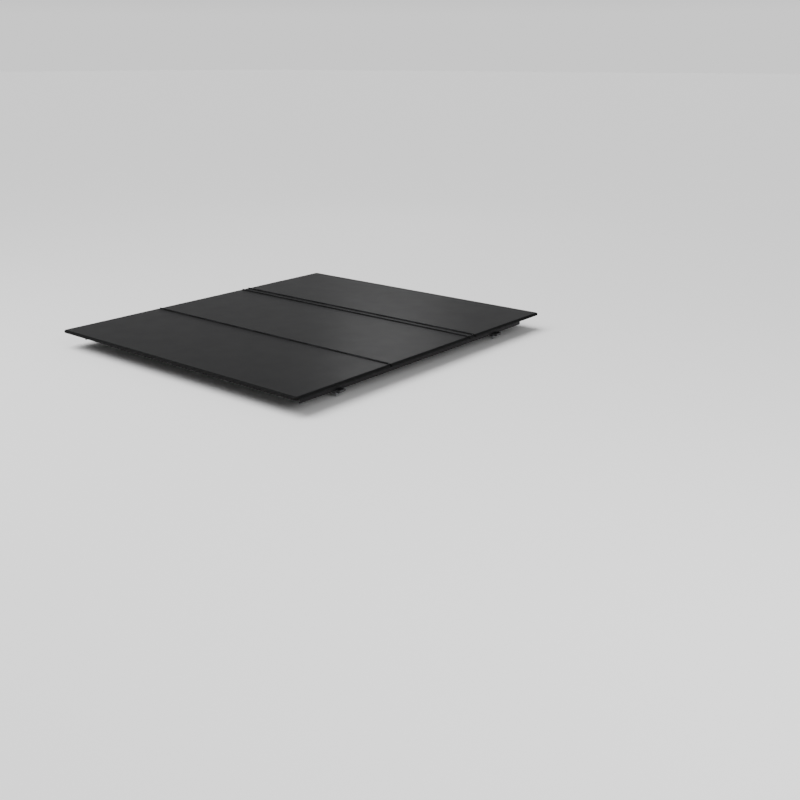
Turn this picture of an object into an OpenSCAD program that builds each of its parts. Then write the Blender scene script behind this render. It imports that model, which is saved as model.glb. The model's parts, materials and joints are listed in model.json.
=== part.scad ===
// Hard folding cover for a pickup bed. Three aluminium-skinned panels fold forward
// onto the front one, over two clamp-on side rails. A lever under the rear panel
// drives two latch rods into strikers on the rails.
// +X is the vehicle's right side, +Y points to the cab and +Z is up. The origin is
// the centre of the bed opening, level with the top of the bed rails.

/* [Cover] */
// Overall width over the edge seals
cover_w = 1650; // [1375:5:1980]
// Rear panel, from the outer face of its seal to its hinge axis
rear_l = 645; // [535:5:775]
// Front panel, from its hinge axis to the outer face of its seal
front_l = 643; // [535:1:775]
// Thickness of a panel from its top face to its underside
panel_t = 25; // [22:1:32]
// Height of the panel tops above the bed rails
top_z = 16; // [15:0.5:20]
// Radius of the four outer corners of the metal panels
corner_r = 10; // [8:1:30]
// How far the panels overhang the bed opening's walls at each side
side_overhang = 70; // [58:1:90]
// How far the end panels overhang at the tailgate and at the bulkhead
end_overhang = 78; // [70:1:90]

/* [Panel construction] */
// Top skin sheet thickness
skin_t = 1.2; // [0.8:0.1:1.6]
// Bottom skin sheet thickness
bottom_skin_t = 1.2; // [0.8:0.1:1.6]
// Outer wall of the frame bars
wall_t = 3; // [2:0.5:4]
// Top and bottom webs of the frame bars
web_t = 2; // [1.5:0.5:3]
// Width of a frame bar under the panel
bar_w = 33; // [26:1:45]
// Thickness of the overhanging flange
flange_t = 3; // [2:0.5:4]

/* [Seals] */
// Width of the rubber seal around the panel edges
edge_seal_w = 10; // [6:1:14]
// Gap between a seal and the moving part that comes down beside it
seal_clear = 0.3; // [0.3:0.1:1]
// Outer radius of the bulb seals on the rails and under the end panels
bulb_r = 4.5; // [3.5:0.5:4.5]
// Wall of the bulb seals
bulb_wall = 1.5; // [1:0.25:2]

/* [Hinges] */
// Outer radius of the hinge knuckles
knuckle_r = 4; // [3:0.25:4.5]
// Radius of the hinge pins
pin_r = 1.5; // [1:0.25:2]
// Radial running clearance of pins and shafts in their bores
run_clear = 0.06; // [0.02:0.01:0.1]
// Height of the hinge axes above the panel tops
hinge_rise = 2; // [1.5:0.25:3]
// Distance from a hinge axis to the panel edge beside it
hinge_gap = 5; // [4.75:0.25:7]
// Number of knuckles along one hinge line
knuckles = 13; // [7:2:21]
// Gap between neighbouring knuckles
knuckle_clear = 0.4; // [0.2:0.1:1]
// Extra length of the middle panel, so that the folded rear panel clears the spine
fold_clear = 7; // [6:0.5:12]
// Space left between the folded latch parts and the front panel
stow_clear = 8.5; // [5:0.5:15]

/* [Side rails] */
// Wall thickness of the rails
rail_t = 2.5; // [2:0.25:3.5]
// Depth of the rails' leg below the bed rails
rail_depth = 45; // [40:1:60]
// Width of the flange that lies on the bed rail
rail_flange_w = 28; // [24:1:36]
// Space between the panel's side wall and the rail's leg
rail_gap = 14.5; // [12:0.5:20]
// Gap between the rail ends and the overhanging end bars
rail_end_clear = 3; // [2:1:10]

/* [Clamps] */
// Distance between the two clamps on one rail
clamp_spacing = 1300; // [1000:10:1500]
// Length of a clamp along the rail
clamp_l = 40; // [30:1:60]
// Radius of the clamp bolts
clamp_bolt_r = 4; // [3:0.5:4]
// Depth of the bed's own lip, which the jaws close on
bed_lip_depth = 40; // [36:1:44]
// Free travel of a clamp jaw
jaw_travel = 15; // [8:1:20]

/* [Latch] */
// Distance from the cover's rear edge to the lever's pivot
lever_setback = 200; // [180:5:300]
// Lever length from its pivot to the end of the grip
lever_l = 125; // [100:5:135]
// Angle the lever swings through
lever_swing = 30; // [20:1:36]
// Distance that the rods slide
rod_throw = 11; // [8:0.5:12]
// Radius of the latch rods
rod_r = 4; // [3:0.5:4]
// Distance from the panel's underside to the rods' axes
rod_drop = 7; // [6.5:0.25:9]
// Radius of the lever's pivot post
pivot_r = 5; // [4:0.5:6]
// Radius of the lever's crank pins
crank_pin_r = 3; // [2:0.5:3]
// Radius of the small fixing screws
screw_r = 2; // [1.5:0.25:2.5]

/* [Hidden] */
$fn = 48;

coat = [0.16, 0.16, 0.17];
rubber = [0.05, 0.05, 0.05];
bare = [0.62, 0.63, 0.65];
steel = [0.45, 0.46, 0.48];
foam = [0.75, 0.73, 0.62];
plastic = [0.10, 0.10, 0.11];

// Small overlap that joins two bodies into one, and extra length of cutting bodies
eps = 0.01;
cut = 1;

// Heights
bottom_z = top_z - panel_t;
skin_z = top_z - skin_t;
flange_z = skin_z - flange_t;
axis_z = top_z + hinge_rise;
rod_z = bottom_z - rod_drop;

// The lever's stack under the panel
tongue_t = 4;
stack_clear = 0.5;
lever_t = 4;
pivot_head_t = 3;
latch_drop = rod_drop + tongue_t / 2 + stack_clear + lever_t + pivot_head_t;

// Places along the cover
middle_l = rear_l + fold_clear;
spine_l = panel_t + latch_drop + stow_clear;
total_l = rear_l + middle_l + spine_l + front_l;
rear_y = -total_l / 2;
axis_1 = rear_y + rear_l;
axis_2 = axis_1 + middle_l;
axis_3 = axis_2 + spine_l;
front_y = total_l / 2;

// Metal outline of each panel: from its rear edge to its front edge
rear_span = [rear_y + edge_seal_w, axis_1 - hinge_gap];
middle_span = [axis_1 + hinge_gap, axis_2 - hinge_gap];
spine_span = [axis_2 + hinge_gap, axis_3 - hinge_gap];
front_span = [axis_3 + hinge_gap, front_y - edge_seal_w];

// Places across the cover
metal_x = cover_w / 2 - edge_seal_w;
box_x = metal_x - side_overhang;
leg_x = box_x + rail_gap;
lip_x = leg_x + rail_t;
// Inner sides of the side bars, and the ends of the hinge lines
inner_x = box_x - bar_w;
hinge_x = metal_x - wall_t;

// ---------------------------------------------------------------- plan outlines

// Outline between two y values, with round corners at the ends that have a radius
module outline(span, half_w, r_rear, r_front) {
    translate([-half_w, span[0] + r_rear])
        square([2 * half_w, span[1] - span[0] - r_rear - r_front]);
    if (r_rear > 0) corner_row(span[0], half_w, r_rear, 1);
    if (r_front > 0) corner_row(span[1], half_w, r_front, -1);
}

// The strip with two round corners at one end; dir points into the panel
module corner_row(edge_y, half_w, r, dir) {
    translate([-half_w + r, min(edge_y, edge_y + dir * (r + eps))])
        square([2 * (half_w - r), r + eps]);
    for (side = [-1, 1])
        translate([side * (half_w - r), edge_y + dir * r])
            circle(r);
}

// A slab of a panel's plan. tail and head say which ends are outer ends, inset pulls
// the sides and outer ends in, and hinge_inset pulls in the ends that carry a hinge.
module panel_slab(span, tail, head, inset, hinge_inset, z0, z1, end_inset) {
    r = max(corner_r - inset, 0);
    rear_in = tail ? end_inset : hinge_inset;
    front_in = head ? end_inset : hinge_inset;
    translate([0, 0, z0])
        linear_extrude(z1 - z0)
            outline([span[0] + rear_in, span[1] - front_in], metal_x - inset,
                    tail ? r : 0, head ? r : 0);
}

// ---------------------------------------------------------------- panel layers

module top_skin(span, tail, head) {
    color(coat)
        panel_slab(span, tail, head, wall_t, wall_t, skin_z, top_z, wall_t);
}

// The channel bars, flange and raised lip around a panel, before they are cut into four
// bars. lip_in is how far the lip reaches in from the ends that carry a hinge.
module frame_ring(span, tail, head, lip_in) {
    difference() {
        union() {
            panel_slab(span, tail, head, 0, 0, flange_z, skin_z, 0);
            difference() {
                panel_slab(span, tail, head, 0, 0, flange_z, top_z, 0);
                panel_slab(span, tail, head, wall_t, lip_in, flange_z - cut, top_z + cut, wall_t);
            }
            panel_slab(span, tail, head, side_overhang, 0, bottom_z, skin_z, end_overhang);
        }
        core_body(span, tail, head);
    }
}

// Foam core: it fills the bars' channels and reaches both skins between the bars
module core_body(span, tail, head) {
    panel_slab(span, tail, head, side_overhang + wall_t, wall_t,
               bottom_z + web_t, skin_z - web_t, end_overhang + wall_t);
    panel_slab(span, tail, head, side_overhang + bar_w, bar_w,
               bottom_z + bottom_skin_t, skin_z, end_overhang + bar_w);
}

module bottom_skin(span, tail, head) {
    panel_slab(span, tail, head, side_overhang + bar_w, bar_w,
               bottom_z, bottom_z + bottom_skin_t, end_overhang + bar_w);
}

// Depth of a cross bar along Y
function bar_depth(outer) = outer ? end_overhang + bar_w : bar_w;

// The parts of a frame ring that are its rear and front bars, between the side bars
module rear_bar(span, tail, head) {
    intersection() {
        frame_ring(span, tail, head, wall_t);
        slab_y(span[0] - cut, span[0] + bar_depth(tail));
    }
}

module front_bar(span, tail, head) {
    intersection() {
        frame_ring(span, tail, head, wall_t);
        slab_y(span[1] - bar_depth(head), span[1] + cut);
    }
}

// The part that is a side bar. It runs the panel's full length.
module side_bar(span, tail, head, side) {
    intersection() {
        frame_ring(span, tail, head, -cut);
        translate([side > 0 ? inner_x : -cover_w, -total_l, -2 * panel_t])
            cube([cover_w - inner_x, 2 * total_l, 4 * panel_t]);
    }
}

module slab_y(y0, y1) {
    translate([-inner_x, y0, -4 * panel_t])
        cube([2 * inner_x, y1 - y0, 8 * panel_t]);
}

// ---------------------------------------------------------------- hinges

knuckle_pitch = 2 * hinge_x / knuckles;

// Knuckles on one side of an axis, on a strip of lip along the panel's edge. parity picks
// every other knuckle, and dir points from the axis to the panel that carries them.
module knuckle_row(axis_y, parity, dir) {
    web_top = axis_z - knuckle_clear;
    web_low = skin_z;
    translate([-hinge_x, axis_y + (dir > 0 ? hinge_gap : -hinge_gap - wall_t), skin_z])
        cube([2 * hinge_x, wall_t, top_z - skin_z]);
    for (i = [parity : 2 : knuckles - 1])
        translate([-hinge_x + i * knuckle_pitch + knuckle_clear / 2, axis_y, 0]) {
            length = knuckle_pitch - knuckle_clear;
            translate([0, 0, axis_z])
                rotate([0, 90, 0])
                    cylinder(h = length, r = knuckle_r);
            translate([0, min(0, dir * (hinge_gap + wall_t)), web_low])
                cube([length, hinge_gap + wall_t, web_top - web_low]);
        }
}

module hinge_bore(axis_y) {
    translate([-metal_x - cut, axis_y, axis_z])
        rotate([0, 90, 0])
            cylinder(h = 2 * (metal_x + cut), r = pin_r + run_clear);
}

module hinge_pin(axis_y) {
    color(steel)
        translate([-hinge_x, axis_y, axis_z])
            rotate([0, 90, 0])
                cylinder(h = 2 * hinge_x, r = pin_r);
}

// A bar with its knuckles, bored for the pin
module hinged(axis_y, parity, dir) {
    color(coat)
        difference() {
            union() {
                children();
                knuckle_row(axis_y, parity, dir);
            }
            hinge_bore(axis_y);
        }
}

module hinge_spine() {
    spine_w = spine_span[1] - spine_span[0];
    color(coat)
        difference() {
            union() {
                translate([-metal_x, spine_span[0], bottom_z])
                    cube([2 * metal_x, spine_w, panel_t]);
                knuckle_row(axis_2, 1, 1);
                knuckle_row(axis_3, 1, -1);
            }
            translate([-metal_x - cut, spine_span[0] + wall_t, bottom_z + web_t])
                cube([2 * (metal_x + cut), spine_w - 2 * wall_t, panel_t - 2 * web_t]);
            for (side = [-1, 1])
                translate([side > 0 ? inner_x : -metal_x - cut, spine_span[0] - cut, bottom_z - cut])
                    cube([metal_x - inner_x + cut, spine_w + 2 * cut, flange_z - bottom_z + cut]);
            hinge_bore(axis_2);
            hinge_bore(axis_3);
        }
}

gasket_clear = [1, 0.5];

// Rubber strip under a hinge line, fixed to the face on the axis's front side. It ends
// clear of the panels' underside and of the knuckles.
module hinge_gasket(axis_y, half_w) {
    low = bottom_z + gasket_clear[0];
    high = axis_z - knuckle_r - gasket_clear[1];
    color(rubber)
        translate([-half_w, axis_y - hinge_gap + seal_clear, low])
            cube([2 * half_w, 2 * hinge_gap - seal_clear, high - low]);
}

// ---------------------------------------------------------------- seals

// Section of the edge seal: its grip under the flange, lip, body and bevelled crown
seal_grip_w = 5;
seal_grip_z = flange_z - 2;
seal_lip_z = 1.5;
seal_body_z = 4;
seal_crown_z = top_z - 3;
seal_top_z = top_z - 0.8;
seal_crown_w = edge_seal_w - 2;
seal_lip_w = edge_seal_w - 4;

module seal_layer(span, tail, head, width, grip, z0, z1) {
    translate([0, 0, z0])
        linear_extrude(z1 - z0)
            difference() {
                outline([span[0] - (tail ? width : 0), span[1] + (head ? width : 0)],
                        metal_x + width,
                        tail ? corner_r + width : 0, head ? corner_r + width : 0);
                outline([span[0] + (tail ? grip : -cut), span[1] - (head ? grip : -cut)],
                        metal_x - grip,
                        tail ? corner_r - grip : 0, head ? corner_r - grip : 0);
            }
}

module edge_seal(span, tail, head) {
    color(rubber) {
        seal_layer(span, tail, head, seal_lip_w, 0, seal_lip_z, seal_body_z);
        seal_layer(span, tail, head, edge_seal_w, 0, seal_body_z, seal_crown_z);
        seal_layer(span, tail, head, seal_crown_w, 0, seal_crown_z, seal_top_z);
        seal_layer(span, tail, head, seal_lip_w, seal_grip_w, seal_grip_z, flange_z);
    }
}

// One side of an edge seal
module side_seal(span, side) {
    intersection() {
        edge_seal(span, false, false);
        translate([side > 0 ? 0 : -cover_w, -total_l, -panel_t])
            cube([cover_w, 2 * total_l, 4 * panel_t]);
    }
}

bulb_base_t = 2;
bulb_base_r = bulb_r + 1.5;

// Section of a bulb seal on a flat base; its base is on y = 0 and the bulb points up
module bulb_section(height) {
    difference() {
        union() {
            translate([-bulb_base_r, 0]) square([2 * bulb_base_r, bulb_base_t]);
            translate([0, height - bulb_r]) circle(bulb_r);
            translate([-bulb_wall, 0]) square([2 * bulb_wall, height - bulb_r]);
        }
        translate([0, height - bulb_r]) circle(bulb_r - bulb_wall);
    }
}

// From the metal edge to the middle of the seal under an end panel's flange
end_seal_in = 22.5;

// Seal under an end panel's flange, hanging down to the tailgate or bulkhead cap
module end_seal(y) {
    color(rubber)
        translate([-inner_x, y, flange_z])
            rotate([-90, 0, -90])
                linear_extrude(2 * inner_x)
                    bulb_section(flange_z - seal_lip_z);
}

// ---------------------------------------------------------------- side rails

rail_y0 = rear_span[0] + end_overhang + rail_end_clear;
rail_y1 = front_span[1] - end_overhang - rail_end_clear;
rail_hook_w = 5;

// Runs its child section, drawn in x and z, along the rail
module along_rail() {
    translate([0, rail_y1, 0])
        rotate([90, 0, 0])
            linear_extrude(rail_y1 - rail_y0)
                children();
}

module rail(side) {
    color(coat)
        mirror([side > 0 ? 0 : 1, 0, 0])
            along_rail() {
                translate([leg_x, -rail_depth]) square([rail_t, rail_depth + rail_t]);
                translate([leg_x, 0]) square([rail_t + rail_flange_w, rail_t]);
                translate([leg_x - rail_hook_w, -rail_depth])
                    square([rail_hook_w + rail_t, rail_t]);
            }
}

module rail_seal(side) {
    color(rubber)
        mirror([side > 0 ? 0 : 1, 0, 0])
            along_rail()
                translate([lip_x + rail_flange_w / 2, rail_t])
                    bulb_section(flange_z - seal_clear - rail_t);
}

// ---------------------------------------------------------------- front brackets

bracket_l = 120;
bracket_t = 3;
bracket_setback = 280;
bracket_y = front_span[1] - bracket_setback;
bracket_top = flange_z - bracket_t;
bracket_screw_z = (bracket_top + bottom_z) / 2;
screw_head_r = 2 * screw_r;
screw_head_t = 1.6 * screw_r;

// U-shaped bracket that joins the front panel's side wall to the rail
module front_bracket(side) {
    color(bare)
        mirror([side > 0 ? 0 : 1, 0, 0])
            difference() {
                translate([box_x, bracket_y - bracket_l / 2, bottom_z])
                    cube([rail_gap, bracket_l, bracket_top - bottom_z]);
                translate([box_x + bracket_t, bracket_y - bracket_l / 2 - cut,
                           bottom_z + bracket_t])
                    cube([rail_gap - 2 * bracket_t, bracket_l + 2 * cut, panel_t]);
                bracket_screw_places() screw_shank(bracket_t + wall_t);
            }
}

// Places of the screws through the right bracket, pointing inwards from its plate
module bracket_screw_places() {
    for (dy = [-1, 1])
        translate([box_x + bracket_t, bracket_y + dy * bracket_l / 3, bracket_screw_z])
            rotate([0, -90, 0])
                children();
}

// A screw's shank from the plane of its head, along +Z
module screw_shank(length) {
    cylinder(h = length, r = screw_r);
}

module screw(length) {
    screw_shank(length);
    translate([0, 0, -screw_head_t]) cylinder(h = screw_head_t, r = screw_head_r);
}

screw_l = 12;

module bracket_screw_holes() {
    for (side = [0, 1])
        mirror([side, 0, 0])
            bracket_screw_places() screw_shank(screw_l);
}

module bracket_screws() {
    color(steel)
        for (side = [0, 1])
            mirror([side, 0, 0])
                bracket_screw_places() screw(screw_l);
}

// ---------------------------------------------------------------- clamps

clamp_x = box_x + 3;
clamp_head_t = 5.5;
clamp_head_r = 7.5;
clamp_head_gap = 3.5;
clamp_top = bottom_z - clamp_head_t - clamp_head_gap;
clamp_foot_t = 3;
clamp_foot_h = 5;
clamp_foot_slope = 2;
clamp_chamfer = 3;
hook_gap = 3.5;
// Underside of the clamp's body: its foot ends above the rail's hook
clamp_low = -rail_depth + rail_t + hook_gap + clamp_foot_h;
jaw_top = -rail_depth - 1;
jaw_body_h = 14;
jaw_arm_h = 9;
jaw_arm_in = 1;
jaw_reach = 24;
jaw_chamfer = 6;
jaw_edge = 2;
jaw_grip_clear = 1;
clamp_bolt_spare = 5;
clamp_bolt_end = jaw_top - jaw_body_h - jaw_travel - clamp_bolt_spare;

module clamp_bolt_place(side, end) {
    translate([side * clamp_x, end * clamp_spacing / 2, 0])
        children();
}

// Section in x and z, run along the rail for the clamp's length
module clamp_run(side, end, section) {
    mirror([side > 0 ? 0 : 1, 0, 0])
        translate([0, end * clamp_spacing / 2 + clamp_l / 2, 0])
            rotate([90, 0, 0])
                linear_extrude(clamp_l)
                    polygon(section);
}

// Block on the rail's leg that holds the bolt's head
module clamp(side, end) {
    inner = clamp_x - clamp_head_r - 1;
    foot_x = leg_x - clamp_foot_t;
    foot_low = clamp_low - clamp_foot_h;
    color(plastic)
        difference() {
            clamp_run(side, end, [
                [inner, clamp_top], [leg_x, clamp_top], [leg_x, foot_low], [foot_x, foot_low],
                [foot_x - clamp_foot_slope, clamp_low], [inner + clamp_chamfer, clamp_low],
                [inner, clamp_low + clamp_chamfer]
            ]);
            clamp_bolt_place(side, end)
                translate([0, 0, foot_low - cut])
                    cylinder(h = clamp_top - foot_low + 2 * cut, r = clamp_bolt_r + run_clear);
        }
}

// Jaw that rises on the bolt and closes on the underside of the bed's lip
module jaw(side, end) {
    inner = clamp_x - clamp_head_r - jaw_edge;
    outer = lip_x + jaw_reach;
    grip_x = lip_x + 2;
    grip_top = -bed_lip_depth - jaw_grip_clear;
    arm_low = jaw_top - jaw_arm_h;
    body_low = jaw_top - jaw_body_h;
    color(plastic)
        difference() {
            clamp_run(side, end, [
                [inner, jaw_top], [grip_x, jaw_top], [grip_x, grip_top], [outer, grip_top],
                [outer, arm_low + jaw_chamfer], [outer - jaw_chamfer, arm_low],
                [leg_x + jaw_arm_in, arm_low], [clamp_x + clamp_head_r, body_low],
                [inner + jaw_edge, body_low], [inner, body_low + jaw_edge]
            ]);
            clamp_bolt_place(side, end)
                translate([0, 0, body_low - cut])
                    cylinder(h = jaw_body_h + 2 * cut, r = clamp_bolt_r + run_clear);
        }
}

module clamp_bolts() {
    color(steel)
        for (side = [-1, 1], end = [-1, 1])
            clamp_bolt_place(side, end) {
                translate([0, 0, clamp_bolt_end])
                    cylinder(h = clamp_top - clamp_bolt_end, r = clamp_bolt_r);
                translate([0, 0, clamp_top])
                    cylinder(h = clamp_head_t, r = clamp_head_r, $fn = 6);
            }
}

// ---------------------------------------------------------------- latch

lever_y = rear_y + lever_setback;
half_swing = lever_swing / 2;
// Crank radius that gives the throw over the whole swing
crank_r = rod_throw / (2 * sin(half_swing));
// The rods lie at the middle of the crank pins' small Y movement
rod_off = crank_r * (1 + cos(half_swing)) / 2;
pin_y_play = crank_r * (1 - cos(half_swing)) / 2;
pin_clear = 0.3;
lever_top = rod_z - tongue_t / 2 - stack_clear;
disc_wall = 4;
disc_r = crank_r + crank_pin_r + disc_wall;
arm_w = 16;

// The rod's tip: its gap to the striker at rest, and to the striker's back when thrown
rod_tip_clear = 2;
rod_end_clear = 1.5;
rod_nose = 3;
rod_nose_r = rod_r - 1.5;
striker_w = 34;
striker_h = 24;
striker_back_t = 1.5;
striker_clear = 0.6;
striker_t = rod_throw - rod_tip_clear + rod_end_clear + striker_back_t;
rod_tip_x = leg_x - striker_t - rod_tip_clear;

tongue_wall = 3.5;
tongue_w = 2 * (crank_pin_r + pin_y_play + pin_clear + tongue_wall);
tongue_end = 30;
tongue_lap = 8;

guide_l = 30;
guide_w = 34;
guide_foot_t = 3;
guide_wall = 3;
guide_base_t = 2.5;
guide_screw_in = 5;
guide_gap = 3;
guide_inner_x = 110;
// The outer guides sit on the bottom skin, beside the side bars
guide_x = [guide_inner_x, inner_x - guide_l / 2 - guide_gap];

// The y place of the rod on one side
function rod_y(side) = lever_y - side * rod_off;

// The lever's own frame: at rest it is turned back by half its swing
module at_lever() {
    translate([0, lever_y, 0])
        rotate([0, 0, -half_swing])
            children();
}

grip_l = 62;
grip_w = 26;
grip_wall = 2;
grip_end_t = 6;

module lever_arm() {
    translate([-arm_w / 2, -lever_l + grip_end_t, lever_top - lever_t])
        cube([arm_w, lever_l - grip_end_t, lever_t]);
}

module release_lever() {
    color(steel)
        at_lever()
            difference() {
                union() {
                    translate([0, 0, lever_top - lever_t]) cylinder(h = lever_t, r = disc_r);
                    lever_arm();
                    for (end = [-1, 1])
                        translate([0, end * crank_r, lever_top - eps])
                            cylinder(h = tongue_t + stack_clear * 2 + eps, r = crank_pin_r);
                }
                translate([0, 0, lever_top - lever_t - cut])
                    cylinder(h = lever_t + 2 * cut, r = pivot_r + run_clear);
            }
}

// Moulded grip over the end of the arm
module lever_grip() {
    color(plastic)
        at_lever()
            difference() {
                translate([0, -lever_l + grip_w / 2, lever_top - lever_t - grip_wall])
                    linear_extrude(lever_t + 2 * grip_wall) {
                        circle(grip_w / 2);
                        translate([-grip_w / 2, 0]) square([grip_w, grip_l - grip_w]);
                        translate([0, grip_l - grip_w]) circle(grip_w / 2);
                    }
                lever_arm();
            }
}

pivot_base = [64, 30, 3];
pivot_screw_in = 8;
pivot_head_lip = 4;
pivot_head_clear = 0.2;

module lever_pivot() {
    color(steel)
        translate([0, lever_y, 0])
            difference() {
                union() {
                    translate([-pivot_base[0] / 2, -pivot_base[1] / 2, bottom_z - pivot_base[2]])
                        cube(pivot_base);
                    translate([0, 0, bottom_z - latch_drop])
                        cylinder(h = latch_drop, r = pivot_r);
                    translate([0, 0, bottom_z - latch_drop])
                        cylinder(h = pivot_head_t - pivot_head_clear, r = pivot_r + pivot_head_lip);
                }
                pivot_screw_offsets()
                    translate([0, 0, -cut]) screw_shank(pivot_base[2] + 2 * cut);
            }
}

// Screws beside the pivot post, from the underside of its base
module pivot_screw_offsets() {
    for (dx = [-1, 1])
        translate([dx * (pivot_base[0] / 2 - pivot_screw_in), 0, bottom_z - pivot_base[2]])
            children();
}

// One latch rod: a round rod with a flat, slotted tongue on the lever's crank pin
module latch_rod(side) {
    pin_x = -crank_r * sin(half_swing);
    color(steel)
        mirror([side > 0 ? 0 : 1, 0, 0])
            translate([0, rod_y(side), rod_z])
                difference() {
                    union() {
                        translate([tongue_end - tongue_lap, 0, 0])
                            rotate([0, 90, 0])
                                cylinder(h = rod_tip_x - tongue_end + tongue_lap - rod_nose, r = rod_r);
                        translate([rod_tip_x - rod_nose, 0, 0])
                            rotate([0, 90, 0])
                                cylinder(h = rod_nose, r1 = rod_r, r2 = rod_nose_r);
                        translate([pin_x - tongue_w / 2, -tongue_w / 2, -tongue_t / 2])
                            cube([tongue_end - pin_x + tongue_w / 2, tongue_w, tongue_t]);
                    }
                    translate([pin_x, 0, -tongue_t])
                        linear_extrude(2 * tongue_t)
                            pin_slot();
                }
}

// Slot for a crank pin, longer across the rod than along it
module pin_slot() {
    r = crank_pin_r + pin_clear;
    for (end = [-1, 1])
        translate([0, end * pin_y_play]) circle(r);
    translate([-r, -pin_y_play]) square([2 * r, 2 * pin_y_play]);
}

// Screw places of one rod guide, beside the rod, from the underside of its foot
module guide_screw_offsets() {
    for (dy = [-1, 1])
        translate([0, dy * (guide_w / 2 - guide_screw_in), bottom_z - guide_foot_t])
            children();
}

module guide_places() {
    for (side = [-1, 1], x = guide_x)
        translate([side * x, rod_y(side), 0])
            children();
}

module rod_guides() {
    block_w = 2 * (rod_r + guide_wall);
    block_h = rod_drop + rod_r + guide_base_t;
    color(plastic)
        guide_places()
            difference() {
                union() {
                    translate([-guide_l / 2, -guide_w / 2, bottom_z - guide_foot_t])
                        cube([guide_l, guide_w, guide_foot_t]);
                    translate([-guide_l / 2, -block_w / 2, bottom_z - block_h])
                        cube([guide_l, block_w, block_h]);
                }
                translate([-guide_l / 2 - cut, 0, rod_z])
                    rotate([0, 90, 0])
                        cylinder(h = guide_l + 2 * cut, r = rod_r + run_clear);
                guide_screw_offsets()
                    translate([0, 0, -cut]) screw_shank(guide_foot_t + 2 * cut);
            }
}

module latch_screw_places() {
    guide_places() guide_screw_offsets() children();
    translate([0, lever_y, 0]) pivot_screw_offsets() children();
}

latch_screw_l = 11;

module latch_screws() {
    color(steel)
        latch_screw_places() screw(latch_screw_l);
}

module latch_screw_holes() {
    latch_screw_places() screw_shank(latch_screw_l);
}

// Striker on the rail's leg: a channel whose lips take the rod's tip between them
module striker(side) {
    slot_h = 2 * (rod_r + striker_clear);
    color(steel)
        mirror([side > 0 ? 0 : 1, 0, 0])
            translate([leg_x - striker_t, rod_y(side) - striker_w / 2, rod_z - striker_h / 2])
                difference() {
                    cube([striker_t, striker_w, striker_h]);
                    translate([-cut, -cut, (striker_h - slot_h) / 2])
                        cube([striker_t - striker_back_t + cut, striker_w + 2 * cut, slot_h]);
                }
}

// ---------------------------------------------------------------- panels' own nodes

module rear_core() {
    color(foam)
        difference() {
            core_body(rear_span, true, false);
            latch_screw_holes();
        }
}

module rear_bottom_skin() {
    color(coat)
        difference() {
            bottom_skin(rear_span, true, false);
            latch_screw_holes();
        }
}

module front_core() {
    color(foam)
        difference() {
            core_body(front_span, false, true);
            bracket_screw_holes();
        }
}

module front_side_bar(side) {
    color(coat)
        difference() {
            side_bar(front_span, false, true, side);
            bracket_screw_holes();
        }
}

top_skin(rear_span, true, false);  // rear_top_skin
rear_core();
rear_bottom_skin();
color(coat) rear_bar(rear_span, true, false);  // rear_tail_bar
hinged(axis_1, 1, -1) front_bar(rear_span, true, false);  // rear_hinge_bar
color(coat) side_bar(rear_span, true, false, -1);  // rear_left_bar
color(coat) side_bar(rear_span, true, false, 1);  // rear_right_bar
top_skin(middle_span, false, false);  // middle_top_skin
color(foam) core_body(middle_span, false, false);  // middle_core
color(coat) bottom_skin(middle_span, false, false);  // middle_bottom_skin
hinged(axis_1, 0, 1) rear_bar(middle_span, false, false);  // middle_rear_bar
hinged(axis_2, 0, -1) front_bar(middle_span, false, false);  // middle_front_bar
color(coat) side_bar(middle_span, false, false, -1);  // middle_left_bar
color(coat) side_bar(middle_span, false, false, 1);  // middle_right_bar
top_skin(front_span, false, true);  // front_top_skin
front_core();
color(coat) bottom_skin(front_span, false, true);  // front_bottom_skin
hinged(axis_3, 0, 1) rear_bar(front_span, false, true);  // front_hinge_bar
color(coat) front_bar(front_span, false, true);  // front_bulkhead_bar
front_side_bar(-1);  // front_left_bar
front_side_bar(1);  // front_right_bar
edge_seal(rear_span, true, false);  // rear_edge_seal
side_seal(middle_span, -1);  // middle_left_seal
side_seal(middle_span, 1);  // middle_right_seal
edge_seal(front_span, false, true);  // front_edge_seal
side_seal(spine_span, -1);  // spine_left_seal
side_seal(spine_span, 1);  // spine_right_seal
end_seal(rear_span[0] + end_seal_in);  // tailgate_seal
end_seal(front_span[1] - end_seal_in);  // bulkhead_seal
hinge_pin(axis_1);  // rear_hinge_pin
union() { hinge_pin(axis_2); hinge_pin(axis_3); }  // spine_hinge_pins
hinge_spine();
hinge_gasket(axis_1, box_x);  // rear_hinge_gasket
hinge_gasket(axis_2, inner_x);  // spine_gasket
hinge_gasket(axis_3, inner_x);  // front_hinge_gasket
rail(-1);  // left_rail
rail(1);  // right_rail
rail_seal(-1);  // left_rail_seal
rail_seal(1);  // right_rail_seal
front_bracket(-1);  // left_front_bracket
front_bracket(1);  // right_front_bracket
bracket_screws();
clamp(-1, -1);  // left_rear_clamp
clamp(1, -1);  // right_rear_clamp
clamp(-1, 1);  // left_front_clamp
clamp(1, 1);  // right_front_clamp
jaw(-1, -1);  // left_rear_jaw
jaw(1, -1);  // right_rear_jaw
jaw(-1, 1);  // left_front_jaw
jaw(1, 1);  // right_front_jaw
clamp_bolts();
release_lever();
lever_grip();
lever_pivot();
latch_rod(-1);  // left_latch_rod
latch_rod(1);  // right_latch_rod
rod_guides();
striker(-1);  // left_striker
striker(1);  // right_striker
latch_screws();
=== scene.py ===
"""Looks of a hard folding cover for a pickup bed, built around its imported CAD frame."""

import json
import math

import bmesh
import bpy
from mathutils import Matrix, Vector


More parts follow.
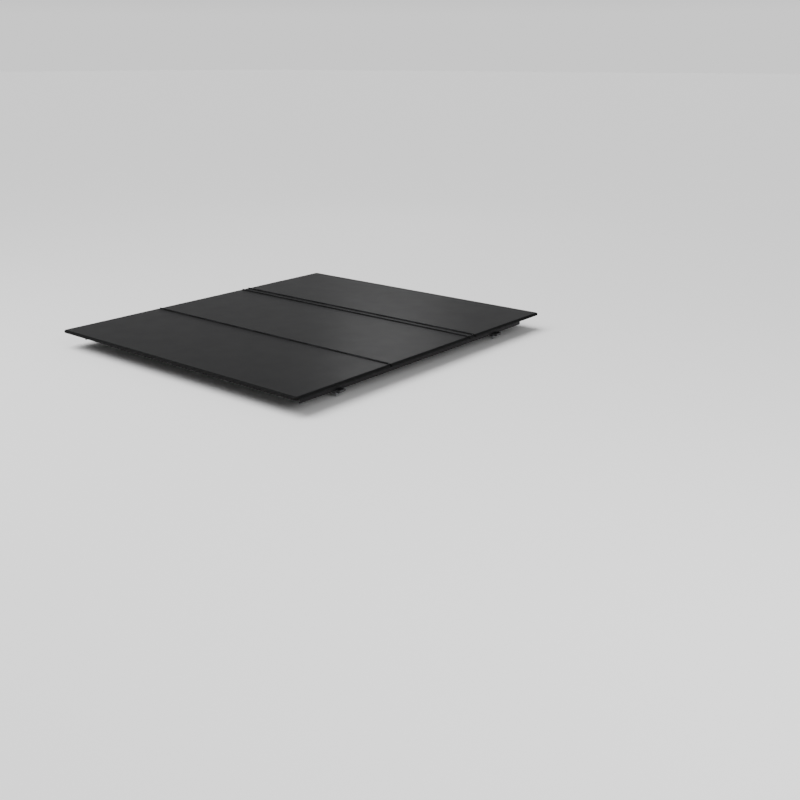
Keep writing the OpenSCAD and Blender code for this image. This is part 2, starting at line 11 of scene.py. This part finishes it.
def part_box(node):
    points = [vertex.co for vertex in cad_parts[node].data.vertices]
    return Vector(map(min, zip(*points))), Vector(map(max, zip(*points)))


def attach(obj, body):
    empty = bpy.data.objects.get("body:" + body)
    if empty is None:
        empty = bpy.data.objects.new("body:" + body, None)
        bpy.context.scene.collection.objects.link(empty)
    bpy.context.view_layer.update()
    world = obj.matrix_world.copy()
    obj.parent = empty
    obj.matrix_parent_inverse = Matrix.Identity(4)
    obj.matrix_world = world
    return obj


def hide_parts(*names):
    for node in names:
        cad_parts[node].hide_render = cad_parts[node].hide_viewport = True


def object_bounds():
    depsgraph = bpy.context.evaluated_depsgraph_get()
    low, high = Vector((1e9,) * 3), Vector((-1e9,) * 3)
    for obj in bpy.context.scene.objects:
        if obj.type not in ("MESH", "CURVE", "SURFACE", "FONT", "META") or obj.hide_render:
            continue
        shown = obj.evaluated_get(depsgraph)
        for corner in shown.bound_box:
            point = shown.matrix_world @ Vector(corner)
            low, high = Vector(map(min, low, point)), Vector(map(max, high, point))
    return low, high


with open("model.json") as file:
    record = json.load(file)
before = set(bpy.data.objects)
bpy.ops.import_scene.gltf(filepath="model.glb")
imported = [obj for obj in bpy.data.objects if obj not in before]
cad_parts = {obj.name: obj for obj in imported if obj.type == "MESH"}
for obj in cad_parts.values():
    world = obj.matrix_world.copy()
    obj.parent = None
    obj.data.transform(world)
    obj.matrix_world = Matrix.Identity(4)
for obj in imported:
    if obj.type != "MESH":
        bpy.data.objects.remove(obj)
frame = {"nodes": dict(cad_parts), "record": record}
cad_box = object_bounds()
NODE_BODY = {n: body for body, nodes in frame["record"]["behaviour"]["bodies"].items() for n in nodes}
NODE_SLOT = {s["node"]: s["material_slot"] for s in frame["record"]["subparts"]}

MM = 0.001


# ---------------------------------------------------------------- materials

class Shader:
    """A Principled material that reads a piece's own coordinates, in metres."""

    def __init__(self, name):
        self.material = bpy.data.materials.new(name)
        self.material.use_nodes = True
        self.tree = self.material.node_tree
        self.surface = self.tree.nodes["Principled BSDF"]
        self.place = self.tree.nodes.new("ShaderNodeTexCoord").outputs["Object"]

    def set(self, **values):
        """Sets sockets of the surface that are the same everywhere."""
        for name, value in values.items():
            self.surface.inputs[name.replace("_", " ")].default_value = value

    def stretched(self, scale):
        """The piece's coordinates, scaled along each axis."""
        node = self.tree.nodes.new("ShaderNodeMapping")
        node.inputs["Scale"].default_value = scale
        self.tree.links.new(self.place, node.inputs["Vector"])
        return node.outputs["Vector"]

    def noise(self, size, detail=3.0, roughness=0.55, stretch=(1, 1, 1)):
        """Noise whose features are about size metres across."""
        node = self.tree.nodes.new("ShaderNodeTexNoise")
        node.inputs["Scale"].default_value = 1 / size
        node.inputs["Detail"].default_value = detail
        node.inputs["Roughness"].default_value = roughness
        self.tree.links.new(self.stretched(stretch), node.inputs["Vector"])
        return node.outputs["Fac"]

    def spread(self, value, low, high, start=0.3, end=0.7):
        """Maps a value from start..end to low..high."""
        node = self.tree.nodes.new("ShaderNodeMapRange")
        for name, v in (("From Min", start), ("From Max", end), ("To Min", low), ("To Max", high)):
            node.inputs[name].default_value = v
        self.tree.links.new(value, node.inputs["Value"])
        return node.outputs["Result"]

    def math(self, operation, a, b):
        node = self.tree.nodes.new("ShaderNodeMath")
        node.operation = operation
        for socket, value in zip(node.inputs, (a, b)):
            if isinstance(value, (int, float)):
                socket.default_value = value
            else:
                self.tree.links.new(value, socket)
        return node.outputs["Value"]

    def mix(self, amount, a, b):
        """Colour a where amount is 0 and b where it is 1."""
        node = self.tree.nodes.new("ShaderNodeMix")
        node.data_type = "RGBA"
        self.tree.links.new(amount, node.inputs["Factor"])
        for socket, value in ((node.inputs[6], a), (node.inputs[7], b)):
            if isinstance(value, tuple):
                socket.default_value = (*value, 1)
            else:
                self.tree.links.new(value, socket)
        return node.outputs[2]

    def colour(self, value):
        self.tree.links.new(value, self.surface.inputs["Base Color"])

    def roughness(self, value):
        self.tree.links.new(value, self.surface.inputs["Roughness"])

    def bump(self, height, distance, strength=1.0):
        node = self.tree.nodes.new("ShaderNodeBump")
        node.inputs["Distance"].default_value = distance
        node.inputs["Strength"].default_value = strength
        self.tree.links.new(height, node.inputs["Height"])
        self.tree.links.new(node.outputs["Normal"], self.surface.inputs["Normal"])

    def edge_wear(self):
        """1 on the rounded edges of a softened piece, 0 elsewhere."""
        node = self.tree.nodes.new("ShaderNodeAttribute")
        node.attribute_name = "edge"
        return node.outputs["Fac"]


def powder_coat(name, tone, rough, worn=0.03):
    """Matte black powder coat: even and smooth, with faint dust and slightly rubbed edges."""
    s = Shader(name)
    dust = s.spread(s.noise(0.6, 1), 0, 1, 0.35, 0.7)
    base = s.mix(dust, tuple(c * 0.97 for c in tone), tuple(c * 1.03 for c in tone))
    rubbed = s.math("MULTIPLY", s.edge_wear(), s.spread(s.noise(0.02, 4), 0, 1, 0.45, 0.7))
    s.colour(s.mix(rubbed, base, (worn, worn, worn * 1.03)))
    s.roughness(s.spread(s.noise(0.12, 2), rough - 0.015, rough + 0.015))
    s.set(Specular_IOR_Level=0.1)
    return s.material


def rubber(name, tone):
    """Extruded rubber: deep black, with a soft sheen and a little bloom."""
    s = Shader(name)
    bloom = s.spread(s.noise(0.05, 5), 0, 1, 0.5, 0.8)
    s.colour(s.mix(bloom, tone, tuple(c * 1.6 for c in tone)))
    s.roughness(s.spread(s.noise(0.01, 3), 0.56, 0.68))
    s.bump(s.noise(0.0025, 3), 0.0002, 0.2)
    s.set(Specular_IOR_Level=0.08)
    return s.material


def zinc(name, tone, rough):
    """Zinc-plated steel with drawn lines along X, cloudy passivation and small scratches."""
    s = Shader(name)
    cloud = s.spread(s.noise(0.015, 4), 0, 1)
    s.colour(s.mix(cloud, tone, tuple(c * 0.78 for c in tone)))
    lines = s.noise(0.0015, 3, stretch=(0.06, 1, 1))
    s.roughness(s.math("ADD", s.spread(lines, -0.06, 0.06), s.spread(cloud, rough, rough + 0.1, 0, 1)))
    s.bump(lines, 0.00015, 0.4)
    s.set(Metallic=1.0)
    return s.material


def mill_aluminium(name, tone):
    """Extruded aluminium with die lines along Y."""
    s = Shader(name)
    lines = s.noise(0.002, 3, stretch=(1, 0.03, 1))
    s.colour(s.mix(s.spread(lines, 0, 1), tone, tuple(c * 0.85 for c in tone)))
    s.roughness(s.spread(lines, 0.32, 0.46))
    s.bump(lines, 0.00015, 0.4)
    s.set(Metallic=1.0)
    return s.material


def moulded(name, tone, rough, grain=0.0009):
    """Moulded plastic with a fine spark-eroded grain."""
    s = Shader(name)
    s.colour(s.mix(s.spread(s.noise(0.03, 3), 0, 1), tone, tuple(c * 1.25 for c in tone)))
    s.roughness(s.spread(s.noise(0.01, 3), rough - 0.04, rough + 0.05))
    s.bump(s.noise(grain, 2, 0.6), 0.0003, 0.6)
    return s.material


def cast(name, tone):
    """Black-coated casting: a coarse sand texture with rubbed high spots."""
    s = Shader(name)
    rubbed = s.math("MULTIPLY", s.edge_wear(), s.spread(s.noise(0.006, 4), 0, 1, 0.4, 0.7))
    s.colour(s.mix(rubbed, tone, (0.16, 0.16, 0.165)))
    s.roughness(s.spread(s.noise(0.004, 3), 0.5, 0.7))
    s.bump(s.noise(0.0018, 3, 0.65), 0.0005, 0.7)
    return s.material


def foam(name, tone):
    """Closed-cell foam."""
    s = Shader(name)
    cells = s.noise(0.0012, 2)
    s.colour(s.mix(s.spread(cells, 0, 1), tone, tuple(c * 0.8 for c in tone)))
    s.bump(cells, 0.0005, 0.7)
    s.set(Roughness=0.9)
    return s.material


MATERIALS = {
    "top_coat": powder_coat("top_coat", (0.009, 0.0091, 0.0096), 0.34),
    "frame_coat": powder_coat("frame_coat", (0.009, 0.0091, 0.0096), 0.34),
    "under_coat": powder_coat("under_coat", (0.020, 0.020, 0.021), 0.5),
    "rail_coat": powder_coat("rail_coat", (0.016, 0.016, 0.017), 0.42),
    "core_foam": foam("core_foam", (0.55, 0.53, 0.44)),
    "seal_rubber": rubber("seal_rubber", (0.004, 0.004, 0.0042)),
    "gasket_rubber": rubber("gasket_rubber", (0.006, 0.006, 0.0062)),
    "bracket_metal": mill_aluminium("bracket_metal", (0.60, 0.61, 0.63)),
    "clamp_cast": cast("clamp_cast", (0.035, 0.035, 0.037)),
    "moulded_plastic": moulded("moulded_plastic", (0.022, 0.022, 0.024), 0.48),
    "plated_steel": zinc("plated_steel", (0.62, 0.63, 0.64), 0.28),
    "fastener_steel": zinc("fastener_steel", (0.55, 0.56, 0.58), 0.24),
}


def dress(obj, slot_name):
    """Gives a piece the material of one slot of the record."""
    obj.data.materials.clear()
    obj.data.materials.append(MATERIALS[slot_name])


for node, obj in frame["nodes"].items():
    dress(obj, NODE_SLOT[node])


# ---------------------------------------------------------------- meshes

def new_piece(name, mesh, stands_for, slot_name=None):
    """Adds a mesh that replaces CAD nodes and rides on the first one's body."""
    obj = bpy.data.objects.new(name, mesh)
    bpy.context.scene.collection.objects.link(obj)
    slot_name = slot_name or NODE_SLOT[stands_for[0]]
    dress(obj, slot_name)
    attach(obj, NODE_BODY[stands_for[0]])
    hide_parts(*stands_for)
    return obj


def smooth(mesh, angle=35):
    """Smooth shading, kept sharp where faces meet at more than angle degrees."""
    mesh.polygons.foreach_set("use_smooth", [True] * len(mesh.polygons))
    mesh.set_sharp_from_angle(angle=math.radians(angle))


def hold_flats(mesh, angle=50):
    """Corner normals weighted by area, so flat faces stay flat beside their rounded edges."""
    limit = math.cos(math.radians(angle))
    around = [[] for _ in mesh.vertices]
    for f in mesh.polygons:
        for v in f.vertices:
            around[v].append(f)
    normals = []
    for f in mesh.polygons:
        for v in f.vertices:
            near = [g.normal * g.area for g in around[v] if f.normal.dot(g.normal) > limit]
            normals.append(sum(near, Vector()).normalized())
    mesh.normals_split_custom_set(normals)


def soften(node, width, segments=2):
    """The node's own shape with its edges rounded off, as coated or moulded edges are."""
    bm = bmesh.new()
    bm.from_mesh(frame["nodes"][node].data)
    bmesh.ops.remove_doubles(bm, verts=bm.verts, dist=2e-6)
    bmesh.ops.dissolve_limit(bm, angle_limit=math.radians(0.4), verts=bm.verts, edges=bm.edges)
    sharp = [e for e in bm.edges if len(e.link_faces) == 2 and e.calc_face_angle() > math.radians(30)]
    made = bmesh.ops.bevel(bm, geom=sharp, offset=width, offset_type="OFFSET", segments=segments,
                           profile=0.5, affect="EDGES", clamp_overlap=True)
    layer = bm.verts.layers.float.new("edge")
    rounded = set(made["faces"])
    for v in {v for f in rounded for v in f.verts}:
        v[layer] = float(rounded.issuperset(v.link_faces))
    bmesh.ops.recalc_face_normals(bm, faces=bm.faces)
    mesh = bpy.data.meshes.new(node + "_finish")
    bm.to_mesh(mesh)
    bm.free()
    smooth(mesh, 50)
    hold_flats(mesh)
    return new_piece(node + "_finish", mesh, [node])


def sweep(name, rings, closed=False):
    """A mesh through rings of points: each ring is a closed section."""
    bm = bmesh.new()
    rows = [[bm.verts.new(p) for p in ring] for ring in rings]
    n = len(rows[0])
    pairs = list(zip(rows, rows[1:] + rows[:1])) if closed else list(zip(rows, rows[1:]))
    for a, b in pairs:
        for i in range(n):
            bm.faces.new((a[i], a[(i + 1) % n], b[(i + 1) % n], b[i]))
    if not closed:
        bm.faces.new(rows[0])
        bm.faces.new(rows[-1])
    bmesh.ops.recalc_face_normals(bm, faces=bm.faces)
    mesh = bpy.data.meshes.new(name)
    bm.to_mesh(mesh)
    bm.free()
    smooth(mesh, 40)
    return mesh


def islands(node):
    """Box of each separate solid in a CAD node, as (lowest corner, highest corner)."""
    bm = bmesh.new()
    bm.from_mesh(frame["nodes"][node].data)
    bmesh.ops.remove_doubles(bm, verts=bm.verts, dist=2e-6)
    left = set(bm.verts)
    found = []
    while left:
        front = [left.pop()]
        seen = list(front)
        while front:
            near = {e.other_vert(v) for v in front for e in v.link_edges} & left
            left -= near
            seen += near
            front = list(near)
        low, high = (Vector([pick(v.co[i] for v in seen) for i in range(3)]) for pick in (min, max))
        found.append((low, high))
    bm.free()
    return sorted(found, key=lambda pair: tuple(round(c, 4) for c in pair[0]))


def lathe(bm, profile, place, segments=32, corner=None):
    """Turns a profile of (radius, height) about Z into a closed solid and places it."""
    rings = []
    for r, h in profile:
        if r < 1e-7:
            rings.append([bm.verts.new(place @ Vector((0, 0, h)))])
            continue
        ring = []
        for i in range(segments):
            a = 2 * math.pi * (i + 0.5) / segments
            reach = corner(a, r, h) if corner else r
            ring.append(bm.verts.new(place @ Vector((reach * math.cos(a), reach * math.sin(a), h))))
        rings.append(ring)
    for a, b in zip(rings, rings[1:]):
        n = max(len(a), len(b))
        for i in range(n):
            corners = [a[i % len(a)], a[(i + 1) % len(a)], b[(i + 1) % len(b)], b[i % len(b)]]
            unique = [v for k, v in enumerate(corners) if v not in corners[:k]]
            if len(unique) > 2:
                bm.faces.new(unique)


def finish_mesh(bm, name, angle=35):
    bmesh.ops.recalc_face_normals(bm, faces=bm.faces)
    mesh = bpy.data.meshes.new(name)
    bm.to_mesh(mesh)
    bm.free()
    smooth(mesh, angle)
    return mesh


# ---------------------------------------------------------------- metal, plastic and castings

def rounding(node):
    """Edge rounding of a metal, plastic or cast piece: its width and segments."""
    kind = node.split("_", 1)[1]
    if kind in ("top_skin", "bottom_skin"):
        return 0.35 * MM, 2
    if kind.endswith(("clamp", "jaw")):
        return 1.2 * MM, 3
    if node == "lever_grip":
        return 2.4 * MM, 4
    if node == "rod_guides":
        return 0.9 * MM, 3
    bent = ("hinge_spine", "left_rail", "right_rail", "release_lever", "lever_pivot")
    if node in bent or kind.endswith(("bar", "front_bracket", "striker", "latch_rod")):
        return 0.5 * MM, 2
    return None


for node in NODE_SLOT:
    if rounding(node):
        soften(node, *rounding(node))


# ---------------------------------------------------------------- seals and gaskets

# Section of an edge seal: distance out from the metal edge and height below its top, in
# mm. A domed crown, a belly, a soft lip that hangs to the bed rail, and a grip that
# reaches in under the flange.
EDGE_SECTION = [
    (0, 0.2), (1.5, 0), (3.4, 0.15), (5.4, 0.9), (7.2, 2.1), (8.7, 3.7), (9.6, 5.6), (10, 7.7),
    (9.7, 9.3), (9.0, 10.3), (8.3, 10.9), (8.5, 11.8), (8.6, 12.7), (8.0, 13.4), (6.9, 13.7),
    (5.8, 13.5), (4.9, 12.6), (4.1, 11.3), (2.6, 9.6), (0.8, 7.6), (-1.2, 5.4), (-4.4, 5.3),
    (-5, 4.8), (-5, 3.45), (0, 3.45),
]
SEAL_WIDTH = 10 * MM
CORNER_RADIUS = 10 * MM  # of the metal edge at the cover's four corners
EDGE_STEPS = 12  # rings along each straight run and round each corner
SEAL_ROUNDING = 0.25 * MM


def edge_path(low, high, rear_end, side=0):
    """Points along a panel's metal edge with the way out from it: a U around one end of
    the panel, or a straight run along one side."""
    x = high.x - SEAL_WIDTH
    if side:
        steps = [low.y + (high.y - low.y) * i / EDGE_STEPS for i in range(EDGE_STEPS + 1)]
        return [((side * x, y), (side, 0)) for y in steps]
    way = -1 if rear_end else 1
    end_y = (low.y + SEAL_WIDTH) if rear_end else (high.y - SEAL_WIDTH)
    start_y = high.y if rear_end else low.y
    turn_y = end_y - way * CORNER_RADIUS
    half = [((x, start_y + (turn_y - start_y) * i / EDGE_STEPS), (1, 0)) for i in range(EDGE_STEPS)]
    for i in range(EDGE_STEPS + 1):
        a = math.radians(90 * i / EDGE_STEPS)
        out = (math.cos(a), way * math.sin(a))
        half.append(((x - CORNER_RADIUS + CORNER_RADIUS * out[0], turn_y + CORNER_RADIUS * out[1]), out))
    across = [((x * (1 - i / EDGE_STEPS) - CORNER_RADIUS, end_y), (0, way)) for i in range(1, EDGE_STEPS)]
    mirror = [((-p[0], p[1]), (-o[0], o[1])) for p, o in reversed(half)]
    across = [(p, o) for p, o in across if abs(p[0]) < x - 2 * CORNER_RADIUS]
    return half + across + [(p, o) for p, o in mirror]


def edge_rings(path, top):
    return [[(p[0] + o[0] * u * MM, p[1] + o[1] * u * MM, top - d * MM) for u, d in EDGE_SECTION]
            for p, o in path]


for node, rear_end in (("rear_edge_seal", True), ("front_edge_seal", False)):
    low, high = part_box(node)
    rings = edge_rings(edge_path(low, high, rear_end), high.z)
    new_piece(node + "_finish", sweep(node + "_finish", rings), [node])

for node in ("middle_left_seal", "middle_right_seal", "spine_left_seal", "spine_right_seal"):
    low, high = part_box(node)
    side = 1 if low.x > 0 else -1
    reach = max(abs(low.x), abs(high.x))
    path = edge_path(low, Vector((reach, high.y, 0)), False, side)
    new_piece(node + "_finish", sweep(node + "_finish", edge_rings(path, high.z)), [node])

for node in ("left_rail_seal", "right_rail_seal", "tailgate_seal", "bulkhead_seal"):
    soften(node, SEAL_ROUNDING)

# Hinge gaskets: flat on the side that is fixed, ribbed on the side that is squeezed.
RIBS = 5
RIB_DEPTH = 1.3 * MM
RIB_ROUND = 0.3 * MM
GASKET_CHAMFER = 0.6 * MM
GASKET_STEPS = 24
for node in ("rear_hinge_gasket", "spine_gasket", "front_hinge_gasket"):
    low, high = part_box(node)
    tall = high.z - low.z
    rib = tall / RIBS
    section = [(high.y, low.z + GASKET_CHAMFER), (high.y, high.z - GASKET_CHAMFER),
               (high.y - GASKET_CHAMFER, high.z)]
    for i in range(RIBS):
        top = high.z - i * rib
        section += [(low.y + RIB_DEPTH, top), (low.y + RIB_ROUND, top - 0.25 * rib),
                    (low.y, top - 0.5 * rib), (low.y + RIB_ROUND, top - 0.75 * rib)]
    section += [(low.y + RIB_DEPTH, low.z), (high.y - GASKET_CHAMFER, low.z)]
    steps = [low.x + (high.x - low.x) * i / GASKET_STEPS for i in range(GASKET_STEPS + 1)]
    rings = [[(x, y, z) for y, z in section] for x in steps]
    new_piece(node + "_finish", sweep(node + "_finish", rings), [node])


# ---------------------------------------------------------------- fasteners and pins

def along(axis, origin):
    """Places a lathe's Z along a direction, from an origin."""
    turn = Vector((0, 0, 1)).rotation_difference(Vector(axis)).to_matrix().to_4x4()
    return Matrix.Translation(origin) @ turn


def hexagon(a, r, h):
    """Reach of a hexagon with its corners at r, in direction a."""
    part = (a % (math.pi / 3)) - math.pi / 6
    return r * math.cos(math.pi / 6) / math.cos(part)


def button_screw(bm, place, length, head_t, head_r, shank_r):
    """Domed head with a hexagon socket, on a threaded shank that starts at height 0."""
    socket = 0.46 * head_r
    dome = [(head_r * math.sin(math.radians(a)), -head_t * (0.25 + 0.75 * math.cos(math.radians(a))))
            for a in (24, 40, 56, 72, 84, 90)]
    lathe(bm, [(0, -0.35 * head_t), (socket, -0.35 * head_t), (socket, -0.97 * head_t)]
          + dome[1:] + [(head_r, 0), (shank_r, 0)] + thread(0.2 * MM, length, shank_r, 0.8 * MM)
          + [(0, length)], place, 24)


def thread(start, end, r, pitch, depth=0.12):
    """Profile of a threaded shank: one ring of crest and root for each turn."""
    turns = int((end - start - pitch) / pitch)
    rows = [(r, start)]
    for i in range(turns):
        z = start + i * pitch
        rows += [(r, z + 0.15 * pitch), (r * (1 - depth), z + 0.5 * pitch), (r, z + 0.85 * pitch)]
    return rows + [(r, end - 0.6 * pitch), (r * 0.8, end)]


SCREW_HEAD_SHARE = 0.8

bm = bmesh.new()
for low, high in islands("latch_screws"):
    head_r = (high.x - low.x) / 2
    head_t = SCREW_HEAD_SHARE * head_r
    centre = (low + high) / 2
    seat = Vector((centre.x, centre.y, low.z + head_t))
    button_screw(bm, along((0, 0, 1), seat), high.z - seat.z, head_t, head_r, head_r / 2)
new_piece("latch_screws_finish", finish_mesh(bm, "latch_screws_finish"), ["latch_screws"])

bm = bmesh.new()
for low, high in islands("bracket_screws"):
    head_r = (high.z - low.z) / 2
    head_t = SCREW_HEAD_SHARE * head_r
    centre = (low + high) / 2
    side = 1 if centre.x > 0 else -1
    outer = high.x if side > 0 else low.x
    seat = Vector((outer - side * head_t, centre.y, centre.z))
    button_screw(bm, along((-side, 0, 0), seat), high.x - low.x - head_t, head_t, head_r, head_r / 2)
new_piece("bracket_screws_finish", finish_mesh(bm, "bracket_screws_finish"), ["bracket_screws"])

# M8 hexagon bolts through the clamps, head up
BOLT_HEAD_T = 5.5 * MM
BOLT_R = 4 * MM
bm = bmesh.new()
for low, high in islands("clamp_bolts"):
    centre = (low + high) / 2
    head_r = (high.x - low.x) / 2
    base = along((0, 0, -1), Vector((centre.x, centre.y, high.z)))
    flat = head_r * math.cos(math.pi / 6)
    lathe(bm, [(0, 0), (0.86 * flat, 0), (head_r, 0.16 * head_r), (head_r, BOLT_HEAD_T - 0.4 * MM),
               (0.95 * flat, BOLT_HEAD_T)], base, 48,
          lambda a, r, h: hexagon(a, r, h) if r > 0.99 * flat else r)
    lathe(bm, [(0.95 * flat, BOLT_HEAD_T), (BOLT_R, BOLT_HEAD_T)]
          + thread(BOLT_HEAD_T + 16 * MM, high.z - low.z, BOLT_R, 1.25 * MM, 0.16)
          + [(0, high.z - low.z)], base, 48)
bmesh.ops.remove_doubles(bm, verts=bm.verts, dist=1e-6)
new_piece("clamp_bolts_finish", finish_mesh(bm, "clamp_bolts_finish"), ["clamp_bolts"])

for node in ("rear_hinge_pin", "spine_hinge_pins"):
    bm = bmesh.new()
    for low, high in islands(node):
        r = (high.z - low.z) / 2
        centre = (low + high) / 2
        length = high.x - low.x
        ends = [(0, 0), (0.6 * r, 0.02 * r), (0.88 * r, 0.25 * r), (r, 0.6 * r)]
        lathe(bm, ends + [(r, length / 2)] + [(p, length - h) for p, h in reversed(ends)],
              along((1, 0, 0), Vector((low.x, centre.y, centre.z))), 24)
    new_piece(node + "_finish", finish_mesh(bm, node + "_finish"), [node])


# ---------------------------------------------------------------- floor, lights and camera

FLOOR_GAP = 0.002
FLOOR_REACH = 120
floor_z = cad_box[0][2] - FLOOR_GAP
middle = Vector([(a + b) / 2 for a, b in zip(*cad_box)])

floor_mesh = bpy.data.meshes.new("floor")
corners = [(x * FLOOR_REACH, y * FLOOR_REACH, floor_z) for x, y in ((-1, -1), (1, -1), (1, 1), (-1, 1))]
floor_mesh.from_pydata(corners, [], [(0, 1, 2, 3)])
floor = bpy.data.objects.new("floor", floor_mesh)
bpy.context.scene.collection.objects.link(floor)
floor_look = Shader("floor")
floor_look.set(Base_Color=(0.93, 0.93, 0.93, 1), Roughness=0.9, Specular_IOR_Level=0.1)
floor.data.materials.append(floor_look.material)

world = bpy.data.worlds.new("studio")
bpy.context.scene.world = world
world.use_nodes = True
sky = world.node_tree.nodes["Background"]
sky.inputs["Color"].default_value = (1, 1, 1, 1)
# Brightest at the horizon, dimmer overhead.
place = world.node_tree.nodes.new("ShaderNodeTexCoord")
split = world.node_tree.nodes.new("ShaderNodeSeparateXYZ")
fade = world.node_tree.nodes.new("ShaderNodeMapRange")
for name, value in (("From Min", 0.04), ("From Max", 0.16), ("To Min", 1.04), ("To Max", 0.3)):
    fade.inputs[name].default_value = value
world.node_tree.links.new(place.outputs["Generated"], split.inputs["Vector"])
world.node_tree.links.new(split.outputs["Z"], fade.inputs["Value"])
world.node_tree.links.new(fade.outputs["Result"], sky.inputs["Strength"])


def soft_box(name, place, aim, size, power):
    """A large square area light at a place, aimed at a point."""
    light = bpy.data.lights.new(name, "AREA")
    light.shape = "SQUARE"
    light.size = size
    light.energy = power
    obj = bpy.data.objects.new(name, light)
    obj.location = place
    obj.rotation_euler = (Vector(aim) - Vector(place)).to_track_quat("-Z", "Y").to_euler()
    bpy.context.scene.collection.objects.link(obj)


# A broad overhead bank lights the floor evenly, and the boxes shape the cover.
bank_data = bpy.data.lights.new("bank", "SUN")
bank_data.energy = 3.2
bank_data.angle = math.radians(50)
bank = bpy.data.objects.new("bank", bank_data)
bank.rotation_euler = Vector((0.25, 0.35, -1)).to_track_quat("-Z", "Y").to_euler()
bpy.context.scene.collection.objects.link(bank)
soft_box("key", middle + Vector((-1.6, -3.4, 3.4)), middle, 2.6, 90)
soft_box("fill", middle + Vector((3.6, -1.5, 2.2)), middle, 2.4, 50)
soft_box("far", middle + Vector((-2.5, 4.0, 2.1)), middle, 1.0, 5)

camera_data = bpy.data.cameras.new("camera")
camera_data.lens = 44.6
camera_data.sensor_width = 36
camera_data.shift_x = 0.116
camera_data.shift_y = 0.009
camera = bpy.data.objects.new("camera", camera_data)
camera.location = (3.46, -3.855, 1.336)
camera.rotation_euler = (math.radians(90 - 19.28), 0, math.radians(42.0))
bpy.context.scene.collection.objects.link(camera)
bpy.context.scene.camera = camera
